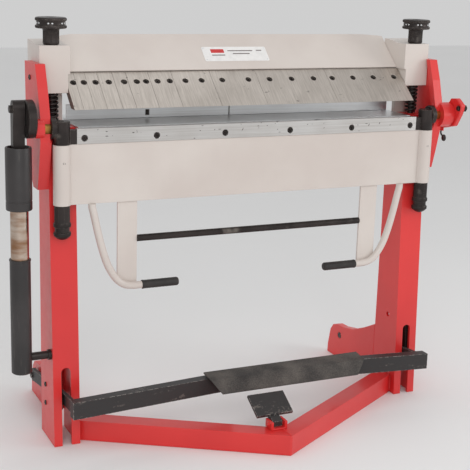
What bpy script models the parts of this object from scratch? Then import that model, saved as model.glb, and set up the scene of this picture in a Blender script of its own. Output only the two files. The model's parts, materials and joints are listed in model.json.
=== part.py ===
"""Foot-pedal sheet metal brake with a segmented clamping beam, 1220 mm wide.

Lengths below are millimetres in the machine's own axes: +X to the operator's right, +Y away
from the operator, +Z up, z = 0 on the floor. The bend line runs along X at y = 0, z = BEND_Z.
The helpers turn millimetres into metres. The last section moves the machine so that its
origin is under the middle of its bounding box.
"""
import math

import bmesh
import bpy
from mathutils import Matrix, Vector

MM = 0.001
GAP = 0.3                      # clearance between faces that touch on the real machine

# driving dimensions
WIDTH = 1220.0                 # folding width, over the fingers and the bending bar
HALF = WIDTH / 2
BEND_Z = 1034.0                # height of the bend line, top of the bed
OPEN_GAP = 52.0                # finger tips above the bed with the pedal up
TIP_Z = BEND_Z + OPEN_GAP
TIP_Y = 2.0                    # finger tips stand back by one sheet thickness
POST_IN, POST_OUT = 600.0, 686.0
POST_TOP = 1029.7
CHEEK_IN, CHEEK_OUT = 690.0, 721.0
SPINDLE_X, SPINDLE_Y = 657.0, 90.0
HINGE_X, HINGE_Y = 655.0, -10.0   # axis of the vertical tube at each end of the apron
APRON_FRONT = -17.0
APRON_LOW, APRON_HIGH = 797.0, 985.0
BAR_TOP = BEND_Z - 2.0
PEDAL_Y, PEDAL_Z = 400.0, 95.0    # axis of the pedal pins
BALANCE_X, BALANCE_Y = -783.0, 10.0
BALANCE_FOOT_Z = 305.0
CRANK_PIN_Z = BEND_Z + 61.0
RELEASE_X, RELEASE_Y, RELEASE_Z = -15.0, -262.0, 83.0
GAUGE_Y = 150.0
FINGER_WIDTHS = (30, 35, 40, 50, 45, 75, 80, 135, 165, 265, 300)

# where the machine's own axes lie in the part's frame
CENTRE_X = -16.5
CENTRE_Y = 72.9

COLOURS = {
    "red_paint": ((0.80, 0.035, 0.03), 0.38, 0.0),
    "grey_paint": ((0.60, 0.54, 0.49), 0.42, 0.0),
    "black_steel": ((0.028, 0.024, 0.022), 0.42, 0.6),
    "black_paint": ((0.035, 0.03, 0.028), 0.5, 0.0),
    "bright_steel": ((0.62, 0.60, 0.58), 0.28, 1.0),
    "bronze": ((0.55, 0.36, 0.16), 0.35, 1.0),
    "grip_rubber": ((0.02, 0.02, 0.02), 0.65, 0.0),
}


def clear_scene():
    for item in list(bpy.data.objects):
        bpy.data.objects.remove(item, do_unlink=True)


def new_collection(name):
    made = bpy.data.collections.new(name)
    bpy.context.scene.collection.children.link(made)
    return made


clear_scene()
PARTS = new_collection("sheet_metal_brake")
CUTTERS = new_collection("cutters")


def paint(name, finish):
    colour, roughness, metallic = COLOURS[finish]
    made = bpy.data.materials.new(name + "_" + finish)
    made.use_nodes = True
    shader = made.node_tree.nodes["Principled BSDF"]
    shader.inputs["Base Color"].default_value = (*colour, 1.0)
    shader.inputs["Roughness"].default_value = roughness
    shader.inputs["Metallic"].default_value = metallic
    made.diffuse_color = (*colour, 1.0)
    return made


def add_object(name, mesh, finish):
    """Link a mesh as a named part, or as a cutter when it has no finish."""
    made = bpy.data.objects.new(name, mesh)
    if finish is None:
        CUTTERS.objects.link(made)
        made.hide_render = True
        made.display_type = 'WIRE'
    else:
        PARTS.objects.link(made)
        mesh.materials.clear()
        mesh.materials.append(paint(name, finish))
    return made


def bevel(made, width, segments=1, angle=35.0):
    rounded = made.modifiers.new("edges", 'BEVEL')
    rounded.width = width * MM
    rounded.segments = segments
    rounded.limit_method = 'ANGLE'
    rounded.angle_limit = math.radians(angle)
    return made


def soften(mesh, angle=35.0):
    mesh.shade_smooth()
    mesh.set_sharp_from_angle(angle=math.radians(angle))


def box(name, low, high, finish=None):
    """A box between two corners, in millimetres."""
    low, high = Vector(low) * MM, Vector(high) * MM
    mesh = bpy.data.meshes.new(name)
    build = bmesh.new()
    bmesh.ops.create_cube(build, size=1.0)
    bmesh.ops.scale(build, vec=high - low, verts=build.verts)
    bmesh.ops.translate(build, vec=(low + high) / 2, verts=build.verts)
    build.to_mesh(mesh)
    build.free()
    return add_object(name, mesh, finish)


AXIS_TURN = {
    'X': Matrix(((0, 0, 1), (1, 0, 0), (0, 1, 0))).to_4x4(),
    'Y': Matrix(((1, 0, 0), (0, 0, -1), (0, 1, 0))).to_4x4(),
    'Z': Matrix.Identity(4),
}


def plate(name, axis, outline, low, high, finish=None):
    """A flat outline extruded along an axis.

    Outline points are (y, z) for X, (x, z) for Y and (x, y) for Z.
    """
    curve = bpy.data.curves.new(name, 'CURVE')
    curve.dimensions = '2D'
    curve.fill_mode = 'BOTH'
    curve.extrude = abs(high - low) / 2 * MM
    spline = curve.splines.new('POLY')
    spline.points.add(len(outline) - 1)
    for point, (across, up) in zip(spline.points, outline):
        point.co = (across * MM, up * MM, 0.0, 1.0)
    spline.use_cyclic_u = True
    flat = bpy.data.objects.new(name + "_outline", curve)
    bpy.context.scene.collection.objects.link(flat)
    bpy.context.view_layer.update()
    mesh = bpy.data.meshes.new_from_object(flat.evaluated_get(bpy.context.evaluated_depsgraph_get()))
    bpy.data.objects.remove(flat, do_unlink=True)
    middle = (low + high) / 2 * MM * (-1 if axis == 'Y' else 1)
    mesh.transform(AXIS_TURN[axis] @ Matrix.Translation((0, 0, middle)))
    close_mesh(mesh)
    return add_object(name, mesh, finish)


def close_mesh(mesh):
    """Weld loose caps and point every face outwards."""
    build = bmesh.new()
    build.from_mesh(mesh)
    bmesh.ops.remove_doubles(build, verts=build.verts, dist=0.000005)
    bmesh.ops.recalc_face_normals(build, faces=build.faces)
    build.to_mesh(mesh)
    build.free()


def rod(name, axis, centre, radius, low, high, finish=None, sides=24):
    """A round bar along an axis; centre gives its two other coordinates, in X, Y, Z order."""
    mesh = bpy.data.meshes.new(name)
    build = bmesh.new()
    bmesh.ops.create_cone(build, cap_ends=True, segments=sides, radius1=radius * MM,
                          radius2=radius * MM, depth=(high - low) * MM)
    middle = (low + high) / 2
    turn = {'X': Matrix.Rotation(math.radians(90), 4, 'Y'),
            'Y': Matrix.Rotation(math.radians(90), 4, 'X'),
            'Z': Matrix.Identity(4)}[axis]
    place = {'X': (middle, *centre), 'Y': (centre[0], middle, centre[1]), 'Z': (*centre, middle)}[axis]
    bmesh.ops.transform(build, matrix=Matrix.Translation(Vector(place) * MM) @ turn, verts=build.verts)
    build.to_mesh(mesh)
    build.free()
    soften(mesh)
    return add_object(name, mesh, finish)


def apply_modifiers(made):
    bpy.context.view_layer.update()
    graph = bpy.context.evaluated_depsgraph_get()
    mesh = bpy.data.meshes.new_from_object(made.evaluated_get(graph))
    made.modifiers.clear()
    made.data = mesh
    return made


def turned(name, centre, profile, finish, sides=28):
    """A round piece about a vertical axis; profile lists (radius, z) from its top to its bottom."""
    mesh = bpy.data.meshes.new(name)
    points = [(radius * MM, 0.0, z * MM) for radius, z in profile]
    edges = [(index, index + 1) for index in range(len(points) - 1)]
    mesh.from_pydata(points, edges, [])
    made = add_object(name, mesh, finish)
    screw = made.modifiers.new("turn", 'SCREW')
    screw.axis = 'Z'
    screw.angle = math.tau
    screw.steps = sides
    screw.render_steps = sides
    screw.use_merge_vertices = True
    screw.merge_threshold = 0.00001
    apply_modifiers(made)
    close_mesh(made.data)
    made.data.transform(Matrix.Translation(Vector((*centre, 0.0)) * MM))
    soften(made.data)
    made.data.materials.clear()
    made.data.materials.append(paint(name, finish))
    return made


def bent_tube(name, points, radius, finish, resolution=3):
    """A round tube or coil along a list of points."""
    curve = bpy.data.curves.new(name, 'CURVE')
    curve.dimensions = '3D'
    curve.bevel_depth = radius * MM
    curve.bevel_resolution = resolution
    curve.use_fill_caps = True
    spline = curve.splines.new('POLY')
    spline.points.add(len(points) - 1)
    for point, place in zip(spline.points, points):
        point.co = (*(Vector(place) * MM), 1.0)
    wire = bpy.data.objects.new(name + "_path", curve)
    bpy.context.scene.collection.objects.link(wire)
    bpy.context.view_layer.update()
    mesh = bpy.data.meshes.new_from_object(wire.evaluated_get(bpy.context.evaluated_depsgraph_get()))
    bpy.data.objects.remove(wire, do_unlink=True)
    close_mesh(mesh)
    soften(mesh)
    return add_object(name, mesh, finish)


def combine(made, other, operation):
    """Join or cut a part with another object, whose mesh is used once."""
    step = made.modifiers.new(operation.lower(), 'BOOLEAN')
    step.operation = operation
    step.solver = 'EXACT'
    step.object = other
    apply_modifiers(made)
    bpy.data.objects.remove(other, do_unlink=True)
    return made


def cut(made, *tools):
    for tool in tools:
        combine(made, tool, 'DIFFERENCE')
    return made


def join(made, *others):
    for other in others:
        combine(made, other, 'UNION')
    keep = made.data.materials[0]
    made.data.materials.clear()
    made.data.materials.append(keep)
    for face in made.data.polygons:
        face.material_index = 0
    return made


def mirrored(points):
    """Swap an outline to the other side of the machine."""
    return [(-x, *rest) for x, *rest in reversed(points)]


def span(side, near, far):
    """The X interval near..far on the left (-1) or right (+1) side, lowest first."""
    return (near, far) if side > 0 else (-far, -near)


SIDES = (("left", -1), ("right", 1))


# ---- frame ------------------------------------------------------------------------------------

def make_floor_frame():
    """V-shaped base: two square tubes that meet in front of the machine."""
    reach = POST_IN - GAP
    outline = [(-reach, 16), (0, -345), (reach, 16), (reach, 95), (0, -266), (-reach, 95)]
    bevel(plate("floor_frame", 'Z', outline, 0, 68, "red_paint"), 5, angle=50)


def make_post(name, side):
    """U channel, open at the back, its front leaning back; the pedal slot opens at the floor."""
    low, high = span(side, POST_IN, POST_OUT)
    wall = 10.0
    outer = [(-13, 0), (142, 0), (142, POST_TOP), (33, POST_TOP)]
    post = plate(name, 'X', outer, low, high, "red_paint")
    pocket = [(-2, -10), (160, -10), (160, POST_TOP - 12), (43, POST_TOP - 12)]
    hollow = plate(name + "_hollow", 'X', pocket, low + wall, high - wall)
    slot_low, slot_high = span(side, 628, 659)
    radius = (slot_high - slot_low) / 2
    middle = (slot_low + slot_high) / 2
    arch = [(middle + radius * math.cos(math.radians(turn)), 246.5 + radius * math.sin(math.radians(turn)))
            for turn in range(0, 181, 20)]
    slot = plate(name + "_slot", 'Y', [(slot_high, -20), *arch, (slot_low, -20)], -40, 30)
    spindle_hole = rod(name + "_hole", 'Z', (side * SPINDLE_X, SPINDLE_Y), 12, 990, 1060)
    tongue_slot = box(name + "_tongue", (min(side * 611, side * 675), 122, 990),
                      (max(side * 611, side * 675), 160, 1060))
    cut(post, hollow, slot, spindle_hole, tongue_slot)
    hole = rod(name + "_cross_hole", 'X', (61, 289), 9, min(side * 590, side * 620), max(side * 590, side * 620))
    cut(post, hole)
    bevel(post, 2.0, angle=50)


def make_rear_foot(name, side):
    """Plate foot that runs back from the post along the floor and carries the pedal pin."""
    low, high = span(side, POST_IN, 630)
    outline = [(142 + GAP, 62), (200, 38), (285, 0), (490, 0), (488, 40), (474, 100), (455, 124),
               (425, 134), (380, 136), (300, 152), (220, 186), (142 + GAP, 225)]
    foot = plate(name, 'X', outline, low, high, "red_paint")
    cut(foot, rod(name + "_bore", 'X', (PEDAL_Y, PEDAL_Z), 12, low - 5, high + 5))
    bevel(foot, 3.0, angle=50)


def make_cheek(name, side):
    """Side plate: guides the clamping beam and carries the apron's hinge bush."""
    low, high = span(side, CHEEK_IN, CHEEK_OUT)
    web_low, web_high = span(side, 701, CHEEK_OUT)
    front = [(26, 841), (8, 906), (-12, 992), (-14, 1065), (13, 1154), (40, 1222)]
    web = [*reversed(front), (77, 841), (150, 950), (158, 1100), (162, 1222)]
    flange = [*reversed(front), (60, 841), (60, 906), (20, 992), (16, 1065), (38, 1154), (60, 1222)]
    cheek = plate(name, 'X', web, web_low, web_high, "red_paint")
    lug = [(-12, 990), (26, 841), (77, 841), (142, 940), (142, 1020), (60, 1026), (20, 1034)]
    join(cheek, plate(name + "_flange", 'X', flange, low, high),
         plate(name + "_lug", 'X', lug, *span(side, POST_OUT + GAP, 705)))
    boss_end = 752 if side > 0 else 736
    boss_radius = 43 if side > 0 else 30
    join(cheek, rod(name + "_boss", 'X', (0, BEND_Z), boss_radius, *span(side, 710, boss_end)))
    cut(cheek, rod(name + "_bore", 'X', (0, BEND_Z), 20, *span(side, 680, 760)),
        rod(name + "_relief", 'X', (0, BEND_Z), 36, *span(side, 680, CHEEK_IN + 0.5)))
    bevel(cheek, 1.5, angle=50)
    bush = rod("hinge_bush_" + name.split("_")[1], 'X', (0, BEND_Z), 20 - GAP,
               *span(side, CHEEK_IN + 1, boss_end - 1), "bronze")
    cut(bush, rod(name + "_running_bore", 'X', (0, BEND_Z), 15 + GAP, *span(side, 680, 760)))


def make_bed():
    """Box beam between the posts with a ground steel jaw plate on it."""
    reach = POST_IN - GAP
    beam = plate("bed_beam", 'X', [(45, 860), (150, 860), (240, 990), (240, 1008), (10, 1008), (10, 996)],
                 -reach, reach, "grey_paint")
    bevel(beam, 3, angle=40)
    jaw = plate("bed_plate", 'X', [(2, BEND_Z), (280, BEND_Z), (280, 1008 + GAP), (14, 1008 + GAP), (2, 1020)],
                -reach, reach, "bright_steel")
    bevel(jaw, 0.8)


def make_balance_pin():
    """Stud on the left post that the lift assist swings on."""
    stud = rod("balance_stud", 'X', (BALANCE_Y + 14, BALANCE_FOOT_Z), 13, -762, -POST_OUT - GAP, "black_steel")
    bevel(stud, 1.5)


def make_release_bracket():
    """Forked bracket on the front of the base, its pin riveted in, for the release pedal."""
    low, high = RELEASE_X - 29, RELEASE_X + 29
    fork = box("release_bracket", (low, RELEASE_Y - 24, 68 + GAP), (high, RELEASE_Y + 22, 96), "red_paint")
    cut(fork, box("release_gap", (low + 9, RELEASE_Y - 40, 73), (high - 9, RELEASE_Y + 40, 110)))
    join(fork, rod("release_pin", 'X', (RELEASE_Y, RELEASE_Z), 6, low - 3, high + 3, sides=24))
    bevel(fork, 1.5)


# ---- clamping beam ----------------------------------------------------------------------------

def make_fingers():
    """Wedge-nosed clamping fingers of unlike widths, side by side."""
    section = [(TIP_Y, TIP_Z), (TIP_Y + 40, TIP_Z), (137, 1166), (119, 1187)]
    start = -HALF
    for number, width in enumerate(FINGER_WIDTHS, 1):
        finger = plate("finger_%02d" % number, 'X', section, start + GAP, start + width - GAP, "bright_steel")
        bevel(finger, 0.6)
        start += width


def make_clamp_beam():
    """Welded beam behind the fingers, and the sheet hood that leans back over it."""
    reach = POST_IN + 3.5
    beam = plate("clamp_beam", 'X', [(139, 1166), (150, 1156), (205, 1156), (205, 1262), (141, 1203)],
                 -reach, reach, "grey_paint")
    bevel(beam, 2)
    slope = math.atan2(1295 - 1189, 234 - 119)
    length = math.hypot(1295 - 1189, 234 - 119)
    corner = 110.0
    drop = 10.0
    face = [(-reach, 0), (reach, 0), (reach, length - drop)]
    for step in range(1, 7):
        share = step / 6
        face.append((reach - corner * share, length - drop * (1 - math.sin(share * math.pi / 2))))
    face += [(-reach + 50, length), (-reach + 18, length - 5), (-reach, length - 16)]
    hood = plate("hood", 'Z', face, 0, 4, "grey_paint")
    place = Matrix.Translation((0, 119 * MM, 1189 * MM)) @ Matrix.Rotation(slope, 4, 'X')
    hood.data.transform(place)
    bevel(hood, 1.0, angle=50)


def make_guide_block(name, side):
    """End block of the clamping beam: bored for the spindle, with a tongue that runs in the post."""
    low, high = span(side, 604, 700.4)
    outline = [(66, 1130), (66, 1275), (118, 1275), (154, 1282), (180, 1284), (205, 1285), (205, 1215),
               (150, 1130)]
    block = plate(name, 'X', outline, low, high, "grey_paint")
    tongue = box(name + "_tongue", (min(side * 613, side * 673), 126, 1000),
                 (max(side * 613, side * 673), 146, 1140))
    join(block, tongue)
    cut(block, rod(name + "_bore", 'Z', (side * SPINDLE_X, SPINDLE_Y), 11, 1100, 1300),
        box(name + "_rebate", (min(side * 600, side * 611), 60, 1120), (max(side * 600, side * 611), 206.2, 1187.5)))
    bevel(block, 2.0, angle=50)


def make_lift_spring(name, side):
    """Coil spring round the spindle that raises the beam when the pedal is let go."""
    turns, steps, radius, wire = 6, 10, 17.5, 3.6
    low, high = POST_TOP + wire + 0.6, 1130 - wire - 0.6
    count = turns * steps
    points = []
    for index in range(count + 1):
        angle = math.tau * index / steps
        points.append((side * SPINDLE_X + radius * math.cos(angle), SPINDLE_Y + radius * math.sin(angle),
                       low + (high - low) * index / count))
    bent_tube(name, points, wire, "black_steel", resolution=2)


def make_spindle(name, side):
    """Clamping spindle with its handwheel, turned from one bar."""
    profile = [(0, 1358), (42, 1358), (48, 1354), (48, 1350), (45, 1347), (45, 1335), (48, 1332), (48, 1328),
               (44, 1324), (25, 1322), (25, 1279), (22, 1275 + GAP), (10, 1275 + GAP), (10, 942), (0, 942)]
    turned(name, (side * SPINDLE_X, SPINDLE_Y), profile, "black_steel")


def make_pull_rod(name, side):
    """Flat bar from the spindle down to the pedal lever, inside the post."""
    outline = [(74, 940 - GAP), (106, 940 - GAP), (106, 900), (96, 880), (38, 118), (6, 118), (66, 880), (74, 900)]
    bevel(plate(name, 'X', outline, *span(side, 652, 664), "black_steel"), 1)


# ---- apron ------------------------------------------------------------------------------------

def make_apron_beam():
    """Folding apron: a heavy plate with a vertical tube at each end."""
    section = [(APRON_FRONT, APRON_LOW), (APRON_FRONT, APRON_HIGH), (-7.7, APRON_HIGH), (-7.7, 1014),
               (-1.3, 1014), (-1.3, 990), (5, 984), (5, APRON_LOW)]
    apron = plate("apron_beam", 'X', section, -HINGE_X, HINGE_X, "grey_paint")
    for name, side in SIDES:
        join(apron, rod("apron_tube_" + name, 'Z', (side * HINGE_X, HINGE_Y), 27, APRON_LOW, APRON_HIGH + 10))
    for name, side in SIDES:
        near, far = span(side, HALF - 2, 700)
        cut(apron, box("apron_step_" + name, (near, -60, APRON_HIGH - GAP), (far, 60, APRON_HIGH + 60)),
            rod("apron_bore_" + name, 'Z', (side * HINGE_X, HINGE_Y), 10.5, 700, 1000))


def make_bending_bar():
    """Ground bar along the top of the apron, counterbored for six cap screws."""
    section = [(-21, APRON_HIGH + GAP), (-21, BAR_TOP), (-1, BAR_TOP), (-1, 1014 + GAP), (-8, 1014 + GAP),
               (-8, APRON_HIGH + GAP)]
    bar = plate("bending_bar", 'X', section, -HALF, HALF, "bright_steel")
    for number in range(6):
        x = -586 + 1172 * number / 5
        cut(bar, rod("counterbore", 'Y', (x, 1000), 9.5, -30, -12))
    bevel(bar, 0.6)


def make_hinge_block(name, side):
    """Hinge end of the apron: a sleeve on the end tube with the stub axle on its flank."""
    block = rod(name, 'Z', (side * HINGE_X, HINGE_Y), 26, APRON_HIGH, 1056, "black_steel")
    lug = box(name + "_lug", (min(side * 611, side * 640), -20, APRON_HIGH), (max(side * 611, side * 640), 4, 1029))
    disc = rod(name + "_disc", 'X', (0, BEND_Z), 33, *span(side, 672, CHEEK_IN - 0.4))
    end = 782 if side > 0 else 765
    axle = rod(name + "_axle", 'X', (0, BEND_Z), 15, *span(side, 675, end))
    join(block, lug, disc, axle)
    bevel(block, 1.2, angle=60)


HANDLE_PATH = [(561, APRON_LOW - GAP), (561, 785), (556, 765), (545, 715), (530, 655), (514, 605), (497, 570), (476, 542),
               (452, 526), (425, 521), (410, 521), (396 + GAP, 521)]


def make_handle(name, side):
    """Bent tube handle with a flat strut welded behind it."""
    points = [(side * x, APRON_FRONT, z) for x, z in HANDLE_PATH]
    handle = bent_tube(name, points, 12, "grey_paint")
    strut = box(name + "_strut", (min(side * 410, side * 475), -8, 526), (max(side * 410, side * 475), 0, APRON_LOW - GAP))
    join(handle, strut)
    grip = bent_tube("grip_" + name.split("_")[1], [(side * 396, APRON_FRONT, 521), (side * 270, APRON_FRONT, 521)],
                     14, "grip_rubber")
    bevel(grip, 4, angle=60)


def make_tie_rod():
    tie = rod("handle_tie_rod", 'X', (-4, 673), 11, -410 + GAP, 410 - GAP, "black_steel")
    bevel(tie, 0.8)


def make_crank():
    """Crank plate on the left stub axle; the lift assist pulls down on its pin."""
    crank = rod("balance_crank", 'X', (5, 1063), 58, -764, -738, "black_steel")
    cut(crank, rod("crank_bore", 'X', (0, BEND_Z), 15 + GAP, -780, -720))
    bevel(crank, 2)


def make_stop_arm():
    """Red sector on the right stub axle with the stop bolt at its front corner."""
    outline = [(42, 978), (34, 1066), (3, 1077), (-7, 1091), (-43, 1095), (-76, 1074), (-65, 1040), (-38, 997)]
    arm = plate("stop_arm", 'X', outline, 757, 775, "red_paint")
    cut(arm, rod("stop_arm_bore", 'X', (0, BEND_Z), 15 + GAP, 740, 790),
        rod("stop_bolt_bore", 'X', (-58, 1062), 8 + GAP, 740, 790))
    bevel(arm, 3)
    bolt = rod("stop_bolt", 'X', (-58, 1062), 8, 752, 790, "black_steel", sides=24)
    join(bolt, rod("stop_bolt_head", 'X', (-58, 1062), 12, 776, 786, sides=6))
    bevel(bolt, 0.6, angle=50)


def make_adjuster(name, side):
    """Height adjusting screw of the apron with its knurled foot."""
    profile = [(0, 984.2), (9, 984.2), (9, APRON_LOW - GAP), (24, APRON_LOW - GAP), (24, 742), (27, 740), (27, 730),
               (23, 728), (23, 714), (27, 712), (27, 702), (22, 696), (8, 688), (0, 688)]
    turned(name, (side * HINGE_X, HINGE_Y), profile, "black_steel")


# ---- pedals -----------------------------------------------------------------------------------

def make_pedal_lever(name, side, inner):
    """One half of the clamping pedal: a bar across the front welded to a lever with its pin, through the post."""
    lean = 0.099 if side < 0 else 0.14
    reach = 657 - inner
    front, depth = -128, 35
    outline = [(657, front), (657, front + depth), (inner, front + depth + lean * reach), (inner, front + lean * reach)]
    if side < 0:
        outline = mirrored(outline)
    lever = plate(name, 'Z', outline, 135, 191, "black_paint")
    arm = [(-100, 142), (-100, 184), (60, 166), (382, 117), (400, 119), (418, 111), (424, 95), (418, 79), (400, 71),
           (382, 76), (60, 128)]
    join(lever, plate(name + "_arm", 'X', arm, *span(side, 637, 650)))
    join(lever, rod(name + "_pin", 'X', (PEDAL_Y, PEDAL_Z), 11, *span(side, 600, 656)))
    bevel(lever, 1.5, angle=50)


def make_pedal_tread():
    """Bent sheet tread over the two pedal levers, its ends cut on the slant."""
    section = [(-130, 150), (-108, 197), (-48, 204), (-48, 198), (-104, 191.4), (-126, 148)]
    tread = plate("pedal_tread", 'X', section, -185, 405, "black_paint")
    for vertex in tread.data.vertices:
        inset = 38 * MM * max(0.0, (198 * MM - vertex.co.z) / (50 * MM))
        vertex.co.x += inset if vertex.co.x < 0 else -inset
    bevel(tread, 1.2)


def make_release_pedal():
    """Small pedal that lets the clamped beam go."""
    tilt = math.atan2(43, 77)
    pad = box("release_pedal", (-65, -45, -5), (65, 45, 5), "black_paint")
    pad.data.transform(Matrix.Translation(Vector((RELEASE_X + 2, -208, 127)) * MM) @ Matrix.Rotation(tilt, 4, 'X'))
    stem = [(RELEASE_Y - 10, 92), (RELEASE_Y - 10, 76), (RELEASE_Y + 10, 76), (-200, 122), (-222, 118)]
    join(pad, plate("release_stem", 'X', stem, RELEASE_X - 17, RELEASE_X + 17))
    cut(pad, rod("release_pedal_bore", 'X', (RELEASE_Y, RELEASE_Z), 6 + GAP, RELEASE_X - 40, RELEASE_X + 40))
    bevel(pad, 2.5)


# ---- lift assist, back gauge, stop ring ---------------------------------------------------------

def make_balance():
    """Telescopic spring unit outside the left post; its link ends in the crank bolt."""
    centre = (BALANCE_X, BALANCE_Y)
    tube = rod("balance_tube", 'Z', centre, 32, 262, 632, "black_paint", sides=28)
    cut(tube, rod("balance_tube_bore", 'Z', centre, 28.6, 275, 700, sides=28),
        rod("balance_stud_hole", 'X', (BALANCE_Y + 14, BALANCE_FOOT_Z), 13 + GAP, -765, -730))
    bevel(tube, 2, angle=60)
    plunger = rod("balance_plunger", 'Z', centre, 28, 470, 786, "bright_steel", sides=28)
    cut(plunger, rod("balance_plunger_bore", 'Z', centre, 23, 400, 776, sides=28))
    sleeve = rod("balance_sleeve", 'Z', centre, 40, 786 + GAP, 980, "black_paint", sides=28)
    cut(sleeve, rod("balance_sleeve_rim", 'Z', centre, 33, 972, 990, sides=28))
    bevel(sleeve, 2.5, angle=60)
    link = box("balance_link", (BALANCE_X - 19, BALANCE_Y - 16, 972 + GAP), (BALANCE_X + 17, BALANCE_Y + 14, 1122),
               "black_steel")
    bevel(link, 3)
    apply_modifiers(link)
    join(link, rod("crank_bolt_head", 'X', (0, CRANK_PIN_Z), 13, BALANCE_X - 29, BALANCE_X - 15, sides=6))


def make_back_gauge():
    """Steel fence across the bed with a square hole, a scribed joint and a foot along its back."""
    fence = box("back_gauge", (-594, GAUGE_Y, BEND_Z + GAP), (594, GAUGE_Y + 6, BEND_Z + 50), "bright_steel")
    foot = box("gauge_foot", (-594, GAUGE_Y + 2, BEND_Z + GAP), (594, GAUGE_Y + 34, BEND_Z + 7))
    join(fence, foot)
    cut(fence, box("gauge_hole", (-327.5, GAUGE_Y - 10, BEND_Z + 8.5), (-314.5, GAUGE_Y + 20, BEND_Z + 27)),
        box("gauge_joint", (-30, GAUGE_Y - 10, BEND_Z - 5), (-26.5, GAUGE_Y + 1.5, BEND_Z + 60)))
    bevel(fence, 0.8)


def make_stop_ring():
    """Adjustable ring of the angle stop and the lever that locks it."""
    ring = rod("stop_ring", 'X', (0, BEND_Z), 42, 752.5, 756.5, "red_paint")
    lug = box("stop_ring_lug", (752.5, 18, BEND_Z - 62), (756.5, 42, BEND_Z - 20))
    join(ring, lug)
    cut(ring, rod("stop_ring_bore", 'X', (0, BEND_Z), 15 + GAP, 740, 790))
    bevel(ring, 0.6)
    lever = bent_tube("lock_lever", [(753.3, 30, BEND_Z - 62 - GAP), (753.3, 30, BEND_Z - 70), (764, 29, BEND_Z - 84)],
                      3, "black_steel")
    ball = bpy.data.meshes.new("lock_ball")
    build = bmesh.new()
    bmesh.ops.create_uvsphere(build, u_segments=16, v_segments=10, radius=9 * MM)
    bmesh.ops.scale(build, vec=(0.9, 0.9, 1.35), verts=build.verts)
    bmesh.ops.translate(build, vec=Vector((766, 28, BEND_Z - 90)) * MM, verts=build.verts)
    build.to_mesh(ball)
    build.free()
    join(lever, add_object("lock_ball", ball, None))


# ---- assembly -----------------------------------------------------------------------------------

def make_all():
    make_floor_frame()
    for name, side in SIDES:
        make_post("post_" + name, side)
        make_rear_foot("rear_foot_" + name, side)
        make_cheek("cheek_" + name, side)
        make_guide_block("guide_block_" + name, side)
        make_lift_spring("lift_spring_" + name, side)
        make_spindle("spindle_" + name, side)
        make_pull_rod("pull_rod_" + name, side)
        make_hinge_block("hinge_block_" + name, side)
        make_handle("handle_" + name, side)
        make_adjuster("adjuster_" + name, side)
    make_bed()
    make_balance_pin()
    make_release_bracket()
    make_fingers()
    make_clamp_beam()
    make_apron_beam()
    make_bending_bar()
    make_tie_rod()
    make_crank()
    make_stop_arm()
    make_pedal_lever("pedal_lever_left", -1, 80)
    make_pedal_lever("pedal_lever_right", 1, 315)
    make_pedal_tread()
    make_release_pedal()
    make_balance()
    make_back_gauge()
    make_stop_ring()


PIVOTS = {
    "apron_axis": ((0, 0, BEND_Z), ("apron_beam", "bending_bar", "hinge_block_left", "hinge_block_right",
                                    "handle_left", "handle_right", "grip_left", "grip_right", "handle_tie_rod",
                                    "balance_crank", "stop_arm", "stop_bolt")),
    "pedal_axis": ((0, PEDAL_Y, PEDAL_Z), ("pedal_lever_left", "pedal_lever_right", "pedal_tread")),
    "release_axis": ((RELEASE_X, RELEASE_Y, RELEASE_Z), ("release_pedal",)),
    "balance_axis": ((BALANCE_X, BALANCE_Y + 14, BALANCE_FOOT_Z),
                     ("balance_tube", "balance_plunger", "balance_sleeve", "balance_link")),
    "spindle_axis_left": ((-SPINDLE_X, SPINDLE_Y, 1275), ("spindle_left",)),
    "spindle_axis_right": ((SPINDLE_X, SPINDLE_Y, 1275), ("spindle_right",)),
    "adjuster_axis_left": ((-HINGE_X, HINGE_Y, APRON_LOW), ("adjuster_left",)),
    "adjuster_axis_right": ((HINGE_X, HINGE_Y, APRON_LOW), ("adjuster_right",)),
    "stop_axis": ((752.5, 0, BEND_Z), ("stop_ring",)),
    "lock_axis": ((753.3, 30, BEND_Z - 62), ("lock_lever",)),
}


def place_machine():
    """Hang every part from an empty, the moving ones from an empty on their joint's axis."""
    root = bpy.data.objects.new("machine_axes", None)
    PARTS.objects.link(root)
    root.location = Vector((-CENTRE_X, -CENTRE_Y, 0)) * MM
    held = set()
    for name, (place, members) in PIVOTS.items():
        pivot = bpy.data.objects.new(name, None)
        PARTS.objects.link(pivot)
        pivot.parent = root
        pivot.location = Vector(place) * MM
        for member in members:
            part = bpy.data.objects[member]
            part.parent = pivot
            part.location = -pivot.location
            held.add(member)
    for part in PARTS.objects:
        if part.type == 'MESH' and part.name not in held:
            part.parent = root
    bpy.context.view_layer.update()


make_all()
place_machine()
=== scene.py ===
import json
import math
import random

import bmesh
import bpy
from mathutils import Matrix, Vector


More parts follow.
